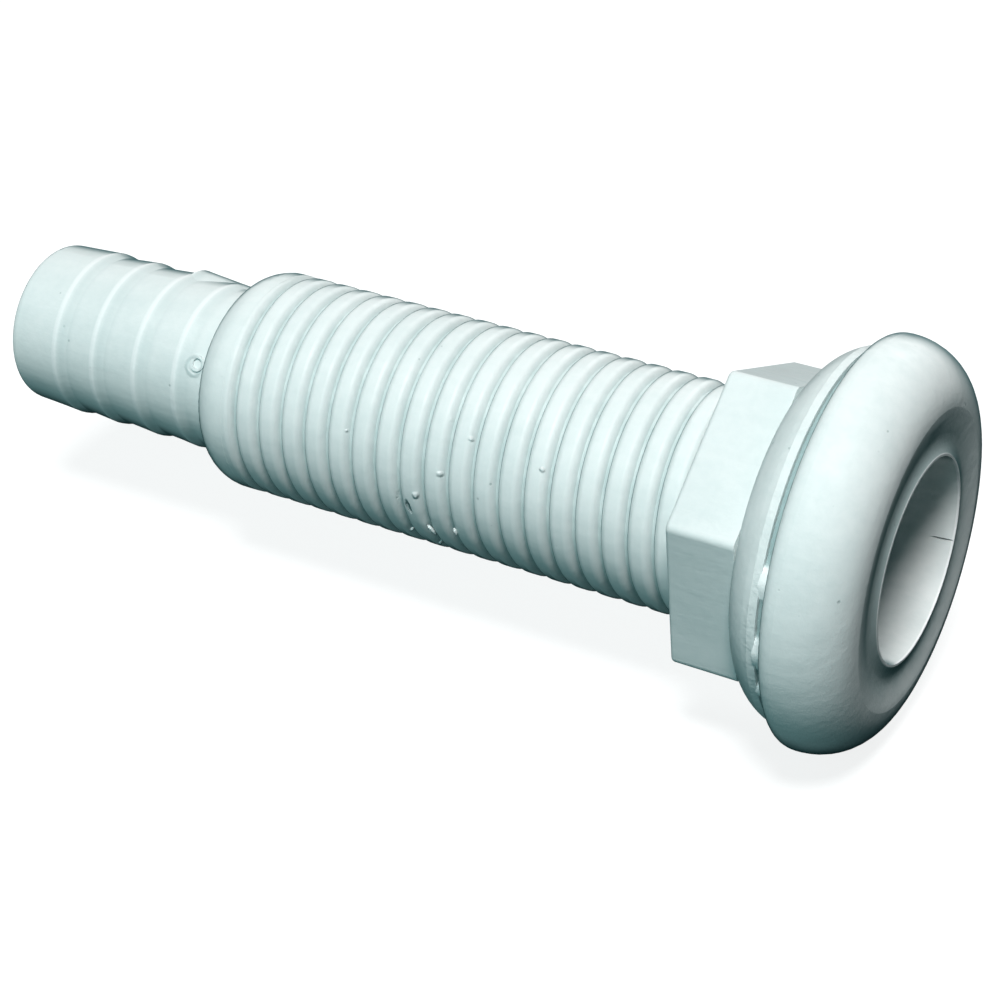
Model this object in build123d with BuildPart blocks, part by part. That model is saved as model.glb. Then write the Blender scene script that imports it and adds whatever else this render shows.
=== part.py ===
"""Plastic thru-hull fitting: a one-piece moulded body, its flanged hex nut and a thin washer.

The frame is the fitting's own. The origin is on the centre line, where the back of the head
seats on the hull. +X runs out of the mouth, away from the boat. +Z is up.
"""
from build123d import *
import os

os.makedirs("parts", exist_ok=True)

# ---- driving dimensions, mm -------------------------------------------------------------
# barrel thread, eight turns to the inch, broad soft crests and a narrow valley
PITCH = 25.4 / 8
CREST_R = 13.2
ROOT_R = 12.4
CREST_WIDTH = 1.9
RIDGE_WIDTH = 2.85
RIDGE_ROUND = 0.8
FLANK = (RIDGE_WIDTH - CREST_WIDTH) / 2 / (CREST_R - ROOT_R)
THREAD_SINK = 0.2
THREAD_START = -73.4
THREAD_START_TURN = 130.0
THREAD_END = -3.6

# mushroom head, its flat back in the plane x = 0
HEAD_R = 23.1
HEAD_WIDEST_X = 1.9
CROWN_R = 16.8
CROWN_X = 8.85
DISH_R = 13.2
DISH_X = 8.35
MOUTH_R = 11.45
MOUTH_X = 8.75
LIP_WIDTH = 0.25
SEAT_EDGE_R = 20.9
NECK_R = 12.1
NECK_LENGTH = 2.2

# hose tail with four low barbs
SHOULDER_X = -77.0
SHOULDER_R = 9.95
COLLAR_START_X = -73.0
COLLAR_END_X = -72.2
COLLAR_R = 13.22
COLLAR_DROP = 0.6
TAIL_X = -106.1
TAIL_EDGE_R = 8.95
TAIL_ROUND = 0.9
BARB_CREST_X = (-99.1, -93.4, -87.2, -81.3)
BARB_CREST_R = 10.2
BARB_VALLEY_R = 9.85
BARB_STEP = 1.7

# a low wedge moulded on the tail, and the small round mark left by the mould's gate
WEDGE_START_X = -88.1
WEDGE_TOP_X = -87.0
WEDGE_TOP_R = 10.75
WEDGE_END_X = -77.5
WEDGE_END_R = 9.95
WEDGE_TURN = -33.4
WEDGE_AXIS_R = 4.9
GATE_X = -78.4
GATE_TURN = 61
GATE_FOOT_R = 9.4
GATE_TOP_R = 10.05
GATE_MARK_R = 0.95
GATE_DIMPLE_R = 0.6
GATE_DIMPLE_FLOOR_R = 9.8

# water way
THROAT_R = 10.6
BARREL_BORE_R = 10.0
TAIL_BORE_R = 8.0
THROAT_END_X = -6.0
BORE_STEP_START_X = -71.5
BORE_STEP_END_X = -77.5

# nut
ACROSS_FLATS = 32.2
NUT_TAIL_X = -13.05
NUT_FACE_X = -0.82
NUT_TURN = 39.6
HEX_CORNER_ROUND = 1.0
HEX_END_ROUND = 0.5
FLANGE_BACK_X = -5.2
FLANGE_BACK_R = 17.6
FLANGE_MID_X = -3.6
FLANGE_MID_R = 19.75
FLANGE_RIM_X = -1.7
FLANGE_R = 20.95
THREAD_GAP = 0.2
NUT_BORE_R = ROOT_R + 0.35
NUT_ROOT_R = CREST_R + 0.3
NUT_TIP_ROUND = 0.1
NUT_BEVEL = 0.7
NUT_THREAD_START_TURNS = 19.0
NUT_THREAD_END_TURNS = 21.7

# washer
WASHER_BACK_X = -0.79
WASHER_FACE_X = -0.02
WASHER_IN_R = 13.7
WASHER_OUT_R = 20.5


def thread_coil(foot_r, tip_r, foot_half, tip_half, tip_round, start_x, end_x):
    """A thread ridge as a solid coil about X, standing on foot_r and reaching to tip_r."""
    with BuildPart() as coil:
        with BuildLine() as path:
            Helix(PITCH, end_x - start_x, foot_r)
        with BuildSketch(Plane((0, 0, 0), x_dir=(1, 0, 0), z_dir=path.line % 0)) as section:
            with BuildLine():
                Polyline((foot_r, -foot_half), (tip_r, -tip_half), (tip_r, tip_half),
                         (foot_r, foot_half), close=True)
            make_face()
            tips = section.vertices().sort_by(lambda corner: abs(corner.X - tip_r))[:2]
            fillet(tips, tip_round)
        sweep(path=path.line, is_frenet=True)
    turn = THREAD_START_TURN + 360 * (start_x - THREAD_START) / PITCH
    return Pos(start_x, 0, 0) * Rot(0, 90, 0) * Rot(0, 0, turn) * coil.part


# ---- moulded body: head, threaded barrel and hose tail in one piece ---------------------
body_thread = thread_coil(
    ROOT_R - THREAD_SINK,
    CREST_R,
    RIDGE_WIDTH / 2 + FLANK * THREAD_SINK,
    CREST_WIDTH / 2,
    RIDGE_ROUND,
    THREAD_START,
    THREAD_END,
)

with BuildPart() as hull_body:
    with BuildSketch(Plane.XZ):
        with BuildLine():
            # rounded end of the hose tail
            Line((TAIL_X, TAIL_BORE_R), (TAIL_X, TAIL_EDGE_R))
            barb_foot = (TAIL_X + TAIL_ROUND, BARB_VALLEY_R)
            Spline((TAIL_X, TAIL_EDGE_R), barb_foot, tangents=((0, 1), (1, 0.07)))
            # each barb is a slow ramp and a soft step down
            for crest_x in BARB_CREST_X:
                crest = (crest_x, BARB_CREST_R)
                Line(barb_foot, crest)
                barb_foot = (crest_x + BARB_STEP, BARB_VALLEY_R)
                Spline(crest, barb_foot, tangents=((1, 0), (1, 0)))
            Line(barb_foot, (SHOULDER_X, SHOULDER_R))
            # round shoulder up to a plain collar that the thread runs out of
            EllipticalCenterArc(
                (COLLAR_START_X, SHOULDER_R),
                COLLAR_START_X - SHOULDER_X,
                COLLAR_R - SHOULDER_R,
                start_angle=90,
                arc_size=90,
            )
            Polyline(
                (COLLAR_START_X, COLLAR_R),
                (COLLAR_END_X, COLLAR_R),
                (COLLAR_END_X + COLLAR_DROP, ROOT_R),
                (-NECK_LENGTH, ROOT_R),
                (-NECK_LENGTH, NECK_R),
                (0, NECK_R),
                (0, SEAT_EDGE_R),
            )
            # rounded rim, long crown and lip of the head
            Spline((0, SEAT_EDGE_R), (HEAD_WIDEST_X, HEAD_R), tangents=((0, 1), (1, 0)))
            EllipticalCenterArc(
                (HEAD_WIDEST_X, CROWN_R), CROWN_X - HEAD_WIDEST_X, HEAD_R - CROWN_R, arc_size=90
            )
            Spline(
                (CROWN_X, CROWN_R),
                (DISH_X, DISH_R),
                (MOUTH_X, MOUTH_R + LIP_WIDTH),
                tangents=((0, -1), (0.6, -1)),
            )
            Line((MOUTH_X, MOUTH_R + LIP_WIDTH), (MOUTH_X, MOUTH_R))
            # water way from the mouth back to the end of the tail
            Polyline(
                (MOUTH_X, MOUTH_R),
                (0, THROAT_R),
                (THROAT_END_X, BARREL_BORE_R),
                (BORE_STEP_START_X, BARREL_BORE_R),
                (BORE_STEP_END_X, TAIL_BORE_R),
                (TAIL_X, TAIL_BORE_R),
            )
        make_face()
    revolve(axis=Axis.X)
    add(body_thread)

    # wedge, turned about an axis nearer the skin so that its sides die into the tail
    wedge_plane = Plane.XZ.rotated((WEDGE_TURN, 0, 0))
    wedge_axis = Axis(wedge_plane.from_local_coords((0, WEDGE_AXIS_R)), (1, 0, 0))
    with BuildSketch(wedge_plane):
        with BuildLine():
            Polyline(
                (WEDGE_START_X, WEDGE_AXIS_R),
                (WEDGE_START_X, BARB_VALLEY_R),
                (WEDGE_TOP_X, WEDGE_TOP_R),
                (WEDGE_END_X, WEDGE_END_R),
                (WEDGE_END_X, WEDGE_AXIS_R),
                close=True,
            )
        make_face()
    revolve(axis=wedge_axis)

    # gate mark, a low ring standing on the neck below the shoulder
    gate_plane = Plane.XY.rotated((GATE_TURN, 0, 0))
    with BuildSketch(gate_plane.offset(GATE_FOOT_R)):
        with Locations((GATE_X, 0)):
            Circle(GATE_MARK_R)
    extrude(amount=GATE_TOP_R - GATE_FOOT_R)
    with BuildSketch(gate_plane.offset(GATE_DIMPLE_FLOOR_R)):
        with Locations((GATE_X, 0)):
            Circle(GATE_DIMPLE_R)
    extrude(amount=GATE_TOP_R - GATE_DIMPLE_FLOOR_R, mode=Mode.SUBTRACT)

    # clear the water way again
    with BuildSketch(Plane.YZ.offset(TAIL_X)):
        Circle(TAIL_BORE_R)
    extrude(amount=BORE_STEP_END_X - TAIL_X, mode=Mode.SUBTRACT)

# ---- flanged nut ------------------------------------------------------------------------
tooth_tip_half = PITCH / 2 - RIDGE_WIDTH / 2 - THREAD_GAP + FLANK * (NUT_BORE_R - ROOT_R)
nut_thread = thread_coil(
    NUT_ROOT_R + THREAD_SINK,
    NUT_BORE_R,
    tooth_tip_half + FLANK * (NUT_ROOT_R + THREAD_SINK - NUT_BORE_R),
    tooth_tip_half,
    NUT_TIP_ROUND,
    THREAD_START + NUT_THREAD_START_TURNS * PITCH,
    THREAD_START + NUT_THREAD_END_TURNS * PITCH,
)

with BuildPart() as flange_nut:
    with BuildSketch(Plane.YZ.offset(NUT_TAIL_X)) as hexagon:
        RegularPolygon(ACROSS_FLATS / 2, 6, major_radius=False, rotation=NUT_TURN)
        fillet(hexagon.vertices(), HEX_CORNER_ROUND)
    extrude(amount=FLANGE_BACK_X - NUT_TAIL_X)
    fillet(flange_nut.faces().sort_by(Axis.X)[0].edges(), HEX_END_ROUND)
    with BuildSketch(Plane.XZ):
        with BuildLine():
            # the flange swells from the hexagon out to a narrow rim
            Line((FLANGE_BACK_X, 0), (FLANGE_BACK_X, FLANGE_BACK_R))
            ThreePointArc(
                (FLANGE_BACK_X, FLANGE_BACK_R),
                (FLANGE_MID_X, FLANGE_MID_R),
                (FLANGE_RIM_X, FLANGE_R),
            )
            Polyline(
                (FLANGE_RIM_X, FLANGE_R),
                (NUT_FACE_X, FLANGE_R),
                (NUT_FACE_X, 0),
                (FLANGE_BACK_X, 0),
            )
        make_face()
    revolve(axis=Axis.X)
    with BuildSketch(Plane.XZ):
        with BuildLine():
            # bore with a bevelled lead-in at both ends
            Polyline(
                (NUT_TAIL_X, 0),
                (NUT_TAIL_X, NUT_ROOT_R + NUT_BEVEL),
                (NUT_TAIL_X + NUT_BEVEL, NUT_ROOT_R),
                (NUT_FACE_X - NUT_BEVEL, NUT_ROOT_R),
                (NUT_FACE_X, NUT_ROOT_R + NUT_BEVEL),
                (NUT_FACE_X, 0),
                close=True,
            )
        make_face()
    revolve(axis=Axis.X, mode=Mode.SUBTRACT)
    # the nut's teeth lie in the body's valleys, half a pitch from its crests
    add(Pos(PITCH / 2, 0, 0) * nut_thread)

# ---- thin sealing washer between the nut's flange and the hull --------------------------
with BuildPart() as seal_washer:
    with BuildSketch(Plane.YZ.offset(WASHER_BACK_X)):
        Circle(WASHER_OUT_R)
        Circle(WASHER_IN_R, mode=Mode.SUBTRACT)
    extrude(amount=WASHER_FACE_X - WASHER_BACK_X)

for name, piece in (
    ("hull_body", hull_body),
    ("flange_nut", flange_nut),
    ("seal_washer", seal_washer),
):
    piece.part.label = name
    export_step(piece.part, f"parts/{name}.step")
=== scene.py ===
import math
import bpy
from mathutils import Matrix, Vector


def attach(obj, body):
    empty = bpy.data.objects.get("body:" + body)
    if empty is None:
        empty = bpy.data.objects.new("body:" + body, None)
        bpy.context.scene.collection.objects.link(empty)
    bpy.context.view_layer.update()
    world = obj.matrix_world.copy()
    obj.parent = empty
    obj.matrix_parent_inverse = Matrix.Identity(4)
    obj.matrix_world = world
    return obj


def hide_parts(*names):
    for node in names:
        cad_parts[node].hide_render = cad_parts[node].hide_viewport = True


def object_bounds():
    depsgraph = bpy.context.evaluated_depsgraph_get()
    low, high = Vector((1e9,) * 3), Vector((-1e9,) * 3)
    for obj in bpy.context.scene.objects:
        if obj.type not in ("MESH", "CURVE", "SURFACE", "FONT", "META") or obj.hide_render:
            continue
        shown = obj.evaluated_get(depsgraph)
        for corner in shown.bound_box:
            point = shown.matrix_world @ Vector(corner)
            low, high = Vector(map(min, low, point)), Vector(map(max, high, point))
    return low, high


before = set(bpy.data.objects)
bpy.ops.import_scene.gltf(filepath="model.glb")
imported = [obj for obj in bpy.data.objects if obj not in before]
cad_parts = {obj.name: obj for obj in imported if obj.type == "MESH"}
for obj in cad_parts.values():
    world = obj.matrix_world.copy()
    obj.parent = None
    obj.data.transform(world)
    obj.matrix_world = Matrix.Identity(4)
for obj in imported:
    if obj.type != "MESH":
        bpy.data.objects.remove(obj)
cad_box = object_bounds()

# ---- Camera ----
# A long lens looks down on the fitting from the hose side's left, with the head a little nearer.
looking = Vector((-0.42836, 0.75343, -0.49885))
upward = Vector((-0.25257, 0.43023, 0.86667))
camera_data = bpy.data.cameras.new("camera")
camera_data.sensor_width = 36.0
camera_data.lens = 87.06
camera_data.clip_start = 0.005
camera_data.clip_end = 20.0
camera = bpy.data.objects.new("camera", camera_data)
bpy.context.collection.objects.link(camera)
camera.location = (0.078094, -0.211843, 0.132798)
sideways = looking.cross(upward).normalized()
upward = sideways.cross(looking).normalized()
camera.rotation_mode = "QUATERNION"
turned = camera.matrix_world.to_3x3()
turned.col[0] = sideways
turned.col[1] = upward
turned.col[2] = -looking.normalized()
camera.rotation_quaternion = turned.to_quaternion()
bpy.context.scene.camera = camera

# ---- Light ----
# A soft lamp stands high over the near side and reaches a little way into the mouth. Three weaker
# ones fill the near side, the front of the head and the back. The room is dim and green-blue, so
# undersides go teal, but the eye sees a pale backdrop.
bpy.context.scene.view_settings.view_transform = "Standard"
middle_of_fitting = Vector((-0.045, 0.0, 0.0))


def soft_panel(name, place, size, watts, colour):
    data = bpy.data.lights.new(name, "AREA")
    data.shape = "DISK"
    data.size = size
    data.energy = watts
    data.color = colour
    lamp = bpy.data.objects.new(name, data)
    bpy.context.collection.objects.link(lamp)
    lamp.location = place
    lamp.rotation_mode = "QUATERNION"
    lamp.rotation_quaternion = (middle_of_fitting - Vector(place)).to_track_quat("-Z", "Y")


soft_panel("key_panel", (0.14, -0.43, 0.88), 0.30, 9.6, (1.0, 0.985, 0.98))
soft_panel("side_panel", (-0.20, -1.10, 0.46), 0.80, 3.4, (0.50, 0.98, 1.0))
soft_panel("cool_panel", (0.75, -0.35, 0.25), 0.40, 0.07, (0.45, 0.95, 1.0))
soft_panel("back_panel", (0.05, 1.00, 0.50), 0.60, 4.6, (0.94, 1.0, 1.0))

room = bpy.data.worlds.new("room")
bpy.context.scene.world = room
room.use_nodes = True
nodes = room.node_tree.nodes
links = room.node_tree.links
ambient = nodes["Background"]
ambient.inputs["Color"].default_value = (0.30, 0.82, 0.92, 1.0)
ambient.inputs["Strength"].default_value = 0.035
backdrop = nodes.new("ShaderNodeBackground")
backdrop.inputs["Color"].default_value = (0.93, 0.93, 0.93, 1.0)
looked_at = nodes.new("ShaderNodeLightPath")
room_mix = nodes.new("ShaderNodeMixShader")
links.new(looked_at.outputs["Is Camera Ray"], room_mix.inputs[0])
links.new(ambient.outputs[0], room_mix.inputs[1])
links.new(backdrop.outputs[0], room_mix.inputs[2])
links.new(room_mix.outputs[0], nodes["World Output"].inputs["Surface"])

# ---- Floor ----
# A wide pale table. It looks pale to the eye but throws little light up under the fitting.
bpy.ops.object.select_all(action="DESELECT")
bpy.ops.mesh.primitive_plane_add(size=6.0, location=(0.0, 0.0, cad_box[0][2]))
floor = bpy.context.object
floor.name = "table_top"
table_finish = bpy.data.materials.new("table_finish")
table_finish.use_nodes = True
nodes = table_finish.node_tree.nodes
links = table_finish.node_tree.links
nodes.clear()
out = nodes.new("ShaderNodeOutputMaterial")
seen = nodes.new("ShaderNodeLightPath")
mix = nodes.new("ShaderNodeMixShader")
pale = nodes.new("ShaderNodeAddShader")
glow = nodes.new("ShaderNodeEmission")
glow.inputs["Color"].default_value = (1.0, 1.0, 1.0, 1.0)
glow.inputs["Strength"].default_value = 0.84
matt = nodes.new("ShaderNodeBsdfDiffuse")
matt.inputs["Color"].default_value = (0.30, 0.31, 0.31, 1.0)
dark = nodes.new("ShaderNodeBsdfDiffuse")
dark.inputs["Color"].default_value = (0.03, 0.05, 0.052, 1.0)
links.new(glow.outputs[0], pale.inputs[0])
links.new(matt.outputs[0], pale.inputs[1])
links.new(seen.outputs["Is Camera Ray"], mix.inputs[0])
links.new(dark.outputs[0], mix.inputs[1])
links.new(pale.outputs[0], mix.inputs[2])
links.new(mix.outputs[0], out.inputs[0])
floor.data.materials.append(table_finish)

# ---- Body: head, threaded barrel and hose tail ----
# One white moulding, made in a split mould. Its thread crests are rubbed and carry small burrs,
# painted paler as a painted highlight, with a torn place near the middle. Painted shade darkens the
# valleys and the hollow round the mouth, and painted highlights lie on the mouth's lip and the barb
# crests. The plastic is faintly cloudy, with a fine grain, soft flow lines along the part and a few
# specks.
MM = 0.001


def new_group(name, ins, outs):
    group = bpy.data.node_groups.new(name, "ShaderNodeTree")
    for label, kind in ins:
        group.interface.new_socket(name=label, in_out="INPUT", socket_type=kind)
    for label, kind in outs:
        group.interface.new_socket(name=label, in_out="OUTPUT", socket_type=kind)
    entry = group.nodes.new("NodeGroupInput")
    leave = group.nodes.new("NodeGroupOutput")
    return group, entry, leave


def worked(tree, kind, a, b=0.0):
    step = tree.nodes.new("ShaderNodeMath")
    step.operation = kind
    for socket, value in zip(step.inputs, (a, b)):
        if isinstance(value, (int, float)):
            socket.default_value = value
        else:
            tree.links.new(value, socket)
    return step.outputs[0]


def ramp_of(tree, value, low, high, to_low=0.0, to_high=1.0):
    step = tree.nodes.new("ShaderNodeMapRange")
    step.interpolation_type = "SMOOTHSTEP"
    step.inputs["From Min"].default_value = low
    step.inputs["From Max"].default_value = high
    step.inputs["To Min"].default_value = to_low
    step.inputs["To Max"].default_value = to_high
    tree.links.new(value, step.inputs["Value"])
    return step.outputs["Result"]


def noise_of(tree, where, scale, detail, rough=0.5):
    step = tree.nodes.new("ShaderNodeTexNoise")
    step.inputs["Scale"].default_value = scale
    step.inputs["Detail"].default_value = detail
    step.inputs["Roughness"].default_value = rough
    tree.links.new(where, step.inputs["Vector"])
    return step.outputs[0]


def blend_of(tree, factor, first, second):
    step = tree.nodes.new("ShaderNodeMix")
    step.data_type = "RGBA"
    tree.links.new(factor, step.inputs["Factor"])
    for socket, value in ((step.inputs[6], first), (step.inputs[7], second)):
        if isinstance(value, tuple):
            socket.default_value = value
        else:
            tree.links.new(value, socket)
    return step.outputs[2]


def place_in_mm(tree):
    """Gives the place on the part, in millimetres."""
    coords = tree.nodes.new("ShaderNodeTexCoord")
    to_mm = tree.nodes.new("ShaderNodeVectorMath")
    to_mm.operation = "SCALE"
    to_mm.inputs["Scale"].default_value = 1.0 / MM
    tree.links.new(coords.outputs["Object"], to_mm.inputs[0])
    return to_mm.outputs[0]


# the moulded surface itself
skin, entry, leave = new_group(
    "moulded_skin",
    (("Place", "NodeSocketVector"), ("Clean", "NodeSocketColor"), ("Cloudy", "NodeSocketColor"),
     ("Speck", "NodeSocketColor")),
    (("Color", "NodeSocketColor"), ("Roughness", "NodeSocketFloat"), ("Height", "NodeSocketFloat")),
)
place = entry.outputs["Place"]
cloud = noise_of(skin, place, 0.11, 4.0, 0.55)
mist = noise_of(skin, place, 0.9, 3.0, 0.6)
drawn = skin.nodes.new("ShaderNodeVectorMath")
drawn.operation = "MULTIPLY"
drawn.inputs[1].default_value = (0.10, 1.0, 1.0)
skin.links.new(place, drawn.inputs[0])
flow = noise_of(skin, drawn.outputs[0], 0.55, 3.0, 0.5)
grain = noise_of(skin, place, 3.2, 4.0, 0.6)
pits = skin.nodes.new("ShaderNodeTexVoronoi")
pits.inputs["Scale"].default_value = 0.33
skin.links.new(place, pits.inputs["Vector"])
speck = ramp_of(skin, pits.outputs["Distance"], 0.035, 0.075, 1.0, 0.0)
speck_here = worked(skin, "MULTIPLY", speck, ramp_of(skin, cloud, 0.47, 0.6))
murk = worked(skin, "MULTIPLY", ramp_of(skin, cloud, 0.38, 0.66), 0.55)
murk = worked(skin, "ADD", murk, worked(skin, "MULTIPLY", ramp_of(skin, mist, 0.35, 0.7), 0.25))
murk = worked(skin, "ADD", murk, worked(skin, "MULTIPLY", ramp_of(skin, flow, 0.4, 0.7), 0.20))
tone = blend_of(skin, murk, entry.outputs["Clean"], entry.outputs["Cloudy"])
tone = blend_of(skin, worked(skin, "MULTIPLY", speck_here, 0.55), tone, entry.outputs["Speck"])
skin.links.new(tone, leave.inputs["Color"])
patchy = ramp_of(skin, cloud, 0.4, 0.6, -0.03, 0.05)
dull = worked(skin, "ADD", ramp_of(skin, mist, 0.3, 0.7, 0.40, 0.52), patchy)
skin.links.new(dull, leave.inputs["Roughness"])
lift = worked(skin, "MULTIPLY", grain, 0.012)
lift = worked(skin, "ADD", lift, worked(skin, "MULTIPLY", flow, 0.05))
lift = worked(skin, "ADD", lift, worked(skin, "MULTIPLY", mist, 0.035))
lift = worked(skin, "SUBTRACT", lift, worked(skin, "MULTIPLY", speck_here, 0.03))
skin.links.new(lift, leave.inputs["Height"])

# how near a ring round the centre line is, broken up by wear
ring, entry, leave = new_group(
    "rubbed_ring",
    (("Place", "NodeSocketVector"), ("From", "NodeSocketFloat"), ("To", "NodeSocketFloat")),
    (("Mask", "NodeSocketFloat"), ("Plain", "NodeSocketFloat")),
)
apart = ring.nodes.new("ShaderNodeVectorMath")
apart.operation = "MULTIPLY"
apart.inputs[1].default_value = (0.0, 1.0, 1.0)
ring.links.new(entry.outputs["Place"], apart.inputs[0])
far_out = ring.nodes.new("ShaderNodeVectorMath")
far_out.operation = "LENGTH"
ring.links.new(apart.outputs[0], far_out.inputs[0])
fade = ring.nodes.new("ShaderNodeMapRange")
fade.interpolation_type = "SMOOTHSTEP"
ring.links.new(far_out.outputs["Value"], fade.inputs["Value"])
ring.links.new(entry.outputs["From"], fade.inputs["From Min"])
ring.links.new(entry.outputs["To"], fade.inputs["From Max"])
breakup = noise_of(ring, entry.outputs["Place"], 0.42, 4.0, 0.6)
worn = worked(ring, "MULTIPLY", fade.outputs["Result"], ramp_of(ring, breakup, 0.36, 0.62, 0.15, 1.0))
ring.links.new(worn, leave.inputs["Mask"])
ring.links.new(fade.outputs["Result"], leave.inputs["Plain"])

# one small mark at a given place, of a given length, width and depth
mark, entry, leave = new_group(
    "small_mark",
    (("Place", "NodeSocketVector"), ("At", "NodeSocketVector"), ("Turn", "NodeSocketVector"),
     ("Size", "NodeSocketVector")),
    (("Mask", "NodeSocketFloat"), ("Reach", "NodeSocketFloat")),
)
local = mark.nodes.new("ShaderNodeMapping")
local.vector_type = "TEXTURE"
wobble = mark.nodes.new("ShaderNodeTexNoise")
wobble.inputs["Scale"].default_value = 1.6
wobble.inputs["Detail"].default_value = 2.0
mark.links.new(entry.outputs["Place"], wobble.inputs["Vector"])
nudge = mark.nodes.new("ShaderNodeVectorMath")
nudge.operation = "MULTIPLY_ADD"
nudge.inputs[1].default_value = (0.30, 0.30, 0.30)
mark.links.new(wobble.outputs[1], nudge.inputs[0])
mark.links.new(entry.outputs["Place"], nudge.inputs[2])
centre = mark.nodes.new("ShaderNodeVectorMath")
centre.operation = "SUBTRACT"
centre.inputs[1].default_value = (0.15, 0.15, 0.15)
mark.links.new(nudge.outputs[0], centre.inputs[0])
mark.links.new(centre.outputs[0], local.inputs["Vector"])
mark.links.new(entry.outputs["At"], local.inputs["Location"])
mark.links.new(entry.outputs["Turn"], local.inputs["Rotation"])
mark.links.new(entry.outputs["Size"], local.inputs["Scale"])
reach = mark.nodes.new("ShaderNodeVectorMath")
reach.operation = "LENGTH"
mark.links.new(local.outputs[0], reach.inputs[0])
mark.links.new(ramp_of(mark, reach.outputs["Value"], 0.25, 1.0, 1.0, 0.0), leave.inputs["Mask"])
mark.links.new(reach.outputs["Value"], leave.inputs["Reach"])


def placed(tree, group, place, **settings):
    step = tree.nodes.new("ShaderNodeGroup")
    step.node_tree = group
    tree.links.new(place, step.inputs["Place"])
    for label, value in settings.items():
        step.inputs[label].default_value = value
    return step


EDGE_FROM = 0.66
EDGE_TO = 0.93
PAINTED_EDGE_SHADE = (0.05, 0.15, 0.16, 1.0)
PLASTIC_IOR = 1.49
PLASTIC_SHINE = 0.35


def finish_plastic(tree, colour, dullness, height, edge_strength):
    """Joins the painted values to the plastic, with a teal painted shade where the surface turns away
    from the eye.
    """
    bsdf = tree.nodes["Principled BSDF"]
    turned_away = tree.nodes.new("ShaderNodeLayerWeight")
    turned_away.inputs["Blend"].default_value = 0.5
    # painted shade: teal darkening where the surface turns away from the eye
    painted_edge_shade = ramp_of(tree, turned_away.outputs["Facing"], EDGE_FROM, EDGE_TO, 0.0, edge_strength)
    colour = blend_of(tree, painted_edge_shade, colour, PAINTED_EDGE_SHADE)
    tree.links.new(colour, bsdf.inputs["Base Color"])
    tree.links.new(dullness, bsdf.inputs["Roughness"])
    bump = tree.nodes.new("ShaderNodeBump")
    bump.inputs["Strength"].default_value = 1.0
    bump.inputs["Distance"].default_value = 1.0 * MM
    tree.links.new(height, bump.inputs["Height"])
    tree.links.new(bump.outputs["Normal"], bsdf.inputs["Normal"])
    bsdf.inputs["IOR"].default_value = PLASTIC_IOR
    bsdf.inputs["Specular IOR Level"].default_value = PLASTIC_SHINE


# radii and places in millimetres, colours as red, green and blue shares
CREST_R = 13.2
CREST_WEAR_R = 12.95
BARREL_R = (12.2, 12.35)
THREAD_PITCH = 3.175
THREAD_START = -73.4
THREAD_START_TURN = 310.0
THREAD_TAIL_X = (-72.4, -71.6)
THREAD_HEAD_X = (-2.6, -2.2)
DOME_HEIGHT = 0.50
HOLLOW_R = (16.2, 13.0)
HOLLOW_X = (7.9, 8.2)
LIP_R = (11.85, 11.65)
LIP_X = (8.45, 8.6)
RUBBED_WHITE = (0.90, 0.93, 0.925, 1.0)
BURR_PAINTED_HIGHLIGHT = (0.93, 0.96, 0.96, 1.0)
BARB_PAINTED_HIGHLIGHT = (0.95, 0.97, 0.97, 1.0)
LIP_PAINTED_HIGHLIGHT = (0.97, 0.99, 0.99, 1.0)
VALLEY_PAINTED_SHADE = (0.36, 0.47, 0.47, 1.0)
HOLLOW_PAINTED_SHADE = (0.30, 0.42, 0.42, 1.0)
BARB_SHADE = (0.42, 0.52, 0.52, 1.0)
GATE_SHADE = (0.42, 0.53, 0.53, 1.0)
GASH_SHADE = (0.25, 0.36, 0.36, 1.0)
WELD_SHADE = (0.38, 0.48, 0.48, 1.0)
BARB_CREST_X = (-99.1, -93.4, -87.2, -81.3)
GATE_PLACE = (-78.75, -8.92, 4.52)
GATE_TURN = 63
WELD_PLACE = (7.4, 10.82, -3.27)
body_plastic = bpy.data.materials.new("body_plastic")
body_plastic.use_nodes = True
tree = body_plastic.node_tree
spot = place_in_mm(tree)
white = placed(
    tree, skin, spot,
    Clean=(0.83, 0.875, 0.868, 1.0), Cloudy=(0.735, 0.80, 0.795, 1.0), Speck=(0.22, 0.30, 0.30, 1.0),
)
colour = white.outputs["Color"]
dullness = white.outputs["Roughness"]
height = white.outputs["Height"]
crest = placed(tree, ring, spot, From=CREST_WEAR_R, To=CREST_R).outputs["Mask"]
along = tree.nodes.new("ShaderNodeSeparateXYZ")
tree.links.new(spot, along.inputs[0])
# the thread climbs one pitch a turn, and each ridge is a low dome between valleys darkened with
# painted shade
near_side = worked(tree, "MULTIPLY", along.outputs["Y"], -1.0)
thread_angle = worked(tree, "ARCTAN2", near_side, along.outputs["Z"])
thread_turn = worked(tree, "DIVIDE", thread_angle, 2.0 * math.pi)
thread_turn = worked(tree, "SUBTRACT", thread_turn, THREAD_START_TURN / 360.0)
thread_run = worked(tree, "SUBTRACT", along.outputs["X"], THREAD_START)
thread_run = worked(tree, "DIVIDE", thread_run, THREAD_PITCH)
thread_phase = worked(tree, "ADD", worked(tree, "SUBTRACT", thread_run, thread_turn), 0.5)
off_crest = worked(tree, "SUBTRACT", worked(tree, "FRACT", thread_phase), 0.5)
off_crest = worked(tree, "ABSOLUTE", off_crest)
on_barrel = placed(tree, ring, spot, From=BARREL_R[0], To=BARREL_R[1]).outputs["Plain"]
past_collar = ramp_of(tree, along.outputs["X"], *THREAD_TAIL_X)
on_barrel = worked(tree, "MULTIPLY", on_barrel, past_collar)
before_head = ramp_of(tree, along.outputs["X"], *THREAD_HEAD_X, 1.0, 0.0)
on_barrel = worked(tree, "MULTIPLY", on_barrel, before_head)
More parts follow.
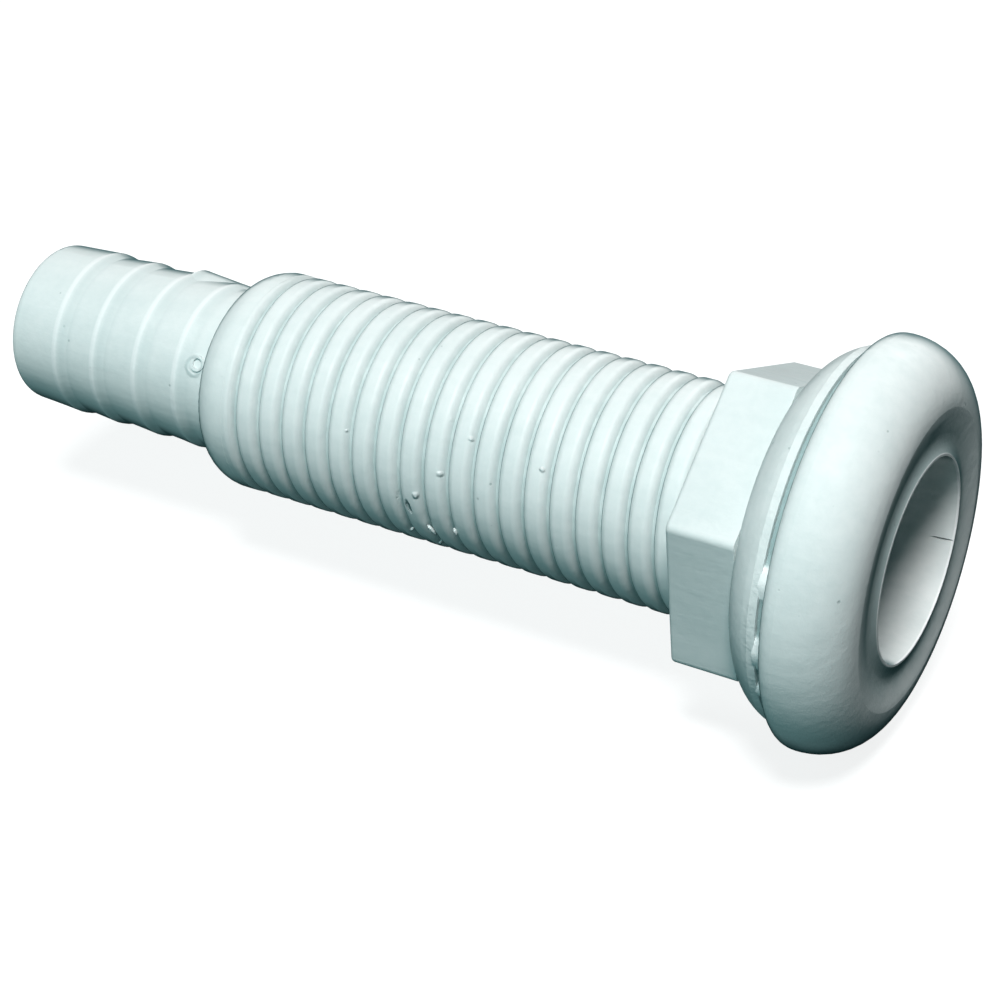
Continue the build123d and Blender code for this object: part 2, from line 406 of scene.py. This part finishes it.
dome = worked(tree, "MULTIPLY", worked(tree, "MULTIPLY", off_crest, off_crest), -DOME_HEIGHT)
height = worked(tree, "ADD", height, worked(tree, "MULTIPLY", dome, on_barrel))
# painted shade in the thread valleys, broken up by noise
valley = worked(tree, "MULTIPLY", ramp_of(tree, off_crest, 0.36, 0.49), on_barrel)
valley_shade_breakup = noise_of(tree, spot, 0.25, 3.0, 0.6)
valley_shade = worked(tree, "MULTIPLY", valley, ramp_of(tree, valley_shade_breakup, 0.35, 0.65, 0.40, 0.65))
colour = blend_of(tree, valley_shade, colour, VALLEY_PAINTED_SHADE)
# painted shade darkens the hollow round the mouth, and a painted highlight lies on its thin lip
hollow = placed(tree, ring, spot, From=HOLLOW_R[0], To=HOLLOW_R[1]).outputs["Plain"]
lip = placed(tree, ring, spot, From=LIP_R[0], To=LIP_R[1]).outputs["Plain"]
on_face = ramp_of(tree, along.outputs["X"], *HOLLOW_X)
not_lip = worked(tree, "SUBTRACT", 1.0, lip)
hollow = worked(tree, "MULTIPLY", worked(tree, "MULTIPLY", hollow, not_lip), on_face)
# painted shade darkening the hollow round the mouth
colour = blend_of(tree, worked(tree, "MULTIPLY", hollow, 0.70), colour, HOLLOW_PAINTED_SHADE)
# painted highlight on the mouth's thin lip
lip_highlight = worked(tree, "MULTIPLY", lip, ramp_of(tree, along.outputs["X"], *LIP_X))
colour = blend_of(tree, lip_highlight, colour, LIP_PAINTED_HIGHLIGHT)
colour = blend_of(tree, worked(tree, "MULTIPLY", crest, 0.22), colour, RUBBED_WHITE)
dullness = worked(tree, "ADD", dullness, worked(tree, "MULTIPLY", crest, 0.07))
# each barb's crest carries a thin painted highlight line with a soft painted shade behind it
for barb_x in BARB_CREST_X:
    gap = worked(tree, "SUBTRACT", along.outputs["X"], barb_x)
    line = ramp_of(tree, worked(tree, "ABSOLUTE", gap), 0.12, 0.50, 1.0, 0.0)
    shade_ends = ramp_of(tree, gap, 0.9, 2.6, 1.0, 0.0)
    shade = worked(tree, "MULTIPLY", ramp_of(tree, gap, 0.1, 0.9), shade_ends)
    colour = blend_of(tree, worked(tree, "MULTIPLY", shade, 0.30), colour, BARB_SHADE)
    colour = blend_of(tree, worked(tree, "MULTIPLY", line, 0.65), colour, BARB_PAINTED_HIGHLIGHT)
# the ring left by the mould's gate
gate = placed(tree, mark, spot, At=GATE_PLACE, Turn=(math.radians(GATE_TURN), 0.0, 0.0),
              Size=(1.0, 1.0, 1.0))
gate_inside = ramp_of(tree, gate.outputs["Reach"], 0.85, 1.10)
gate_outside = ramp_of(tree, gate.outputs["Reach"], 1.15, 1.50, 1.0, 0.0)
gate_ring = worked(tree, "MULTIPLY", gate_inside, gate_outside)
colour = blend_of(tree, worked(tree, "MULTIPLY", gate_ring, 0.50), colour, GATE_SHADE)
height = worked(tree, "ADD", height, worked(tree, "MULTIPLY", gate_ring, 0.06))
# small burrs raised on the crests, painted paler as a painted highlight
burrs = (
    # place, turn about the centre line in degrees, length, width
    ((-42.47, -10.58, 7.89), 53, 0.55, 0.45),
    ((-39.58, -11.38, 6.69), 60, 0.50, 0.40),
    ((-35.94, -10.06, 8.55), 50, 0.45, 0.40),
    ((-42.57, -13.03, 2.12), 81, 0.60, 0.45),
    ((-45.80, -13.12, -1.44), 96, 0.50, 0.60),
    ((-30.40, -11.90, 5.70), 64, 0.40, 0.35),
    ((-55.10, -12.60, 3.95), 73, 0.35, 0.30),
)
for at, around, long, wide in burrs:
    raised = placed(tree, mark, spot, At=at, Turn=(math.radians(around), 0.0, 0.0),
                    Size=(long, wide, 0.8)).outputs["Mask"]
    height = worked(tree, "ADD", height, worked(tree, "MULTIPLY", raised, 0.16))
    # painted highlight paling each burr
    colour = blend_of(tree, worked(tree, "MULTIPLY", raised, 0.35), colour, BURR_PAINTED_HIGHLIGHT)
# the torn place, a long slanting gash with a shorter one beside it
for at, around, slant, long in (
    ((-48.35, -13.0, -2.3), 100, 5, 2.3),
    ((-46.9, -12.8, -3.3), 104, -12, 1.2),
):
    gash = placed(tree, mark, spot, At=at, Turn=(math.radians(around - 90), math.radians(slant), 0.0),
                  Size=(0.34, 0.9, long)).outputs["Mask"]
    height = worked(tree, "SUBTRACT", height, worked(tree, "MULTIPLY", gash, 0.40))
    colour = blend_of(tree, worked(tree, "MULTIPLY", gash, 0.55), colour, GASH_SHADE)
# the weld line, a short crease on the far wall just inside the lip
weld = placed(tree, mark, spot, At=WELD_PLACE, Turn=(0.0, 0.0, 0.0),
              Size=(1.5, 0.9, 0.16)).outputs["Mask"]
height = worked(tree, "SUBTRACT", height, worked(tree, "MULTIPLY", weld, 0.35))
colour = blend_of(tree, worked(tree, "MULTIPLY", weld, 0.55), colour, WELD_SHADE)
finish_plastic(tree, colour, dullness, height, edge_strength=0.95)
hull_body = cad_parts["hull_body"]
hull_body.data.materials.clear()
hull_body.data.materials.append(body_plastic)

# thin flash left standing on the thread crests low on the near side
FLASH_STAND = 0.24
flash = (
    # place, angle from +Z towards -Y in degrees, half length, half thickness, slant in degrees
    ((-44.5, -11.70, -6.15), 118, 0.85, 0.22, 25),
    ((-44.3, -10.15, -8.55), 130, 0.60, 0.18, -20),
    ((-41.1, -12.20, -5.10), 113, 0.50, 0.17, 10),
    ((-47.6, -11.00, -7.35), 124, 0.65, 0.18, -35),
)
for count, (at, around, long, thick, slant) in enumerate(flash):
    bpy.ops.object.select_all(action="DESELECT")
    bpy.ops.mesh.primitive_ico_sphere_add(subdivisions=3, radius=1.0, location=(0.0, 0.0, 0.0))
    burr = bpy.context.object
    burr.name = "thread_flash_%d" % (count + 1)
    bpy.ops.object.mode_set(mode="EDIT")
    bpy.ops.mesh.select_all(action="SELECT")
    bpy.ops.transform.vertex_random(offset=0.22, uniform=0.0, normal=1.0, seed=count + 3)
    bpy.ops.transform.resize(value=(thick * MM, FLASH_STAND * MM, long * MM),
                             center_override=(0.0, 0.0, 0.0))
    bpy.ops.transform.rotate(value=math.radians(slant), orient_axis="Y",
                             center_override=(0.0, 0.0, 0.0))
    bpy.ops.transform.rotate(value=-math.radians(around - 90), orient_axis="X",
                             center_override=(0.0, 0.0, 0.0))
    bpy.ops.transform.translate(value=Vector(at) * MM)
    bpy.ops.object.mode_set(mode="OBJECT")
    bpy.ops.object.shade_smooth()
    burr.data.materials.append(body_plastic)
    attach(burr, "body")

# ---- Nut: hexagon with a swelling flange ----
# A second white moulding, a shade darker than the body and screwed up against the head. It is
# scuffed along the rim of its flange and at the corners that a spanner grips.
CORNER_WEAR_R = (17.8, 18.4)
RIM_WEAR_R = (20.5, 20.95)
nut_plastic = bpy.data.materials.new("nut_plastic")
nut_plastic.use_nodes = True
tree = nut_plastic.node_tree
spot = place_in_mm(tree)
white = placed(
    tree, skin, spot,
    Clean=(0.79, 0.835, 0.83, 1.0), Cloudy=(0.70, 0.765, 0.76, 1.0), Speck=(0.25, 0.33, 0.33, 1.0),
)
colour = white.outputs["Color"]
dullness = white.outputs["Roughness"]
height = white.outputs["Height"]
corner = placed(tree, ring, spot, From=CORNER_WEAR_R[0], To=CORNER_WEAR_R[1]).outputs["Mask"]
rim = placed(tree, ring, spot, From=RIM_WEAR_R[0], To=RIM_WEAR_R[1]).outputs["Mask"]
rubbed = worked(tree, "MAXIMUM", worked(tree, "MULTIPLY", corner, 0.5), rim)
colour = blend_of(tree, worked(tree, "MULTIPLY", rubbed, 0.30), colour, RUBBED_WHITE)
dullness = worked(tree, "ADD", dullness, worked(tree, "MULTIPLY", rubbed, 0.08))
height = worked(tree, "SUBTRACT", height, worked(tree, "MULTIPLY", rim, 0.06))
finish_plastic(tree, colour, dullness, height, edge_strength=0.25)
flange_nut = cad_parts["flange_nut"]
flange_nut.data.materials.clear()
flange_nut.data.materials.append(nut_plastic)

# ---- Washer: thin soft ring between the flange and the head ----
# Cut from soft sheet and slipped over the thread before the nut. Its ring is coloured dark teal as
# painted shade in the groove between flange and head. Where the nut has squeezed it, thin pale
# slivers of it show in the groove.
WASHER_BACK = -0.79
WASHER_FRONT = -0.02
WASHER_IN_R = 13.7
WASHER_OUT_R = 20.45
SLIVER_R = (20.5, 20.75)
SLIVER_WHITE = (0.93, 0.96, 0.955, 1.0)
washer_plastic = bpy.data.materials.new("washer_plastic")
washer_plastic.use_nodes = True
tree = washer_plastic.node_tree
spot = place_in_mm(tree)
# dark teal painted shade for the ring in the groove; only the slivers keep the washer's pale colour
soft = placed(
    tree, skin, spot,
    Clean=(0.36, 0.47, 0.47, 1.0), Cloudy=(0.27, 0.38, 0.385, 1.0), Speck=(0.15, 0.22, 0.22, 1.0),
)
pulled_out = placed(tree, ring, spot, From=SLIVER_R[0], To=SLIVER_R[1]).outputs["Plain"]
washer_colour = blend_of(tree, pulled_out, soft.outputs["Color"], SLIVER_WHITE)
fibre = noise_of(tree, spot, 5.0, 5.0, 0.7)
dullness = worked(tree, "ADD", soft.outputs["Roughness"], worked(tree, "MULTIPLY", fibre, 0.3))
height = worked(tree, "ADD", soft.outputs["Height"], worked(tree, "MULTIPLY", fibre, 0.04))
finish_plastic(tree, washer_colour, dullness, height, edge_strength=0.2)
bpy.ops.object.select_all(action="DESELECT")
bpy.ops.mesh.primitive_circle_add(
    vertices=240, radius=WASHER_OUT_R * MM,
    rotation=(0.0, math.radians(90), 0.0), location=(WASHER_BACK * MM, 0.0, 0.0),
)
washer = bpy.context.object
washer.name = "squeezed_washer"
bpy.ops.object.transform_apply(location=True, rotation=True, scale=True)
bpy.ops.object.mode_set(mode="EDIT")
bpy.ops.mesh.select_all(action="SELECT")
# in to the hole, across the thickness, and back out to the rim
shrink = WASHER_IN_R / WASHER_OUT_R
bpy.ops.mesh.extrude_region_move()
bpy.ops.transform.resize(value=(1.0, shrink, shrink), center_override=(WASHER_BACK * MM, 0.0, 0.0))
thickness = (WASHER_FRONT - WASHER_BACK) * MM
bpy.ops.mesh.extrude_region_move(TRANSFORM_OT_translate={"value": (thickness, 0.0, 0.0)})
bpy.ops.mesh.extrude_region_move()
bpy.ops.transform.resize(value=(1.0, 1.0 / shrink, 1.0 / shrink),
                         center_override=(WASHER_FRONT * MM, 0.0, 0.0))
bpy.ops.mesh.select_all(action="DESELECT")
bpy.ops.object.mode_set(mode="OBJECT")
# the rim is pulled out into slivers in three places
slivers = (
    # middle and half width in degrees from +Z towards -Y, how far out, in millimetres
    (76.0, 6.5, 0.80),
    (99.0, 7.5, 0.90),
    (115.0, 4.5, 0.75),
)
for middle, half, out_mm in slivers:
    for vertex in washer.data.vertices:
        around = math.degrees(math.atan2(-vertex.co.y, vertex.co.z)) % 360.0
        off = abs(around - middle)
        rim_r = math.hypot(vertex.co.y, vertex.co.z)
        if off < half and rim_r > (WASHER_OUT_R - 0.5) * MM:
            swell = math.cos(off / half * math.pi / 2.0) ** 1.3
            swell *= 0.85 + 0.15 * math.sin(around * 2.3 + middle)
            stretch = 1.0 + out_mm * swell * MM / rim_r
            vertex.co.y *= stretch
            vertex.co.z *= stretch
            lean = -0.35 if vertex.co.x < -0.4 * MM else 0.25
            vertex.co.x += lean * swell * MM * 0.6
bpy.ops.object.mode_set(mode="EDIT")
bpy.ops.mesh.select_all(action="DESELECT")
bpy.ops.mesh.select_mode(type="EDGE")
bpy.ops.mesh.select_non_manifold(extend=False)
bpy.ops.mesh.bridge_edge_loops()
bpy.ops.mesh.select_all(action="SELECT")
bpy.ops.mesh.normals_make_consistent(inside=False)
bpy.ops.object.mode_set(mode="OBJECT")
bpy.ops.object.shade_smooth_by_angle(angle=math.radians(40))
washer.data.materials.append(washer_plastic)
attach(washer, "washer")
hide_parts("seal_washer")
seal_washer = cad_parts["seal_washer"]
seal_washer.data.materials.clear()
seal_washer.data.materials.append(washer_plastic)
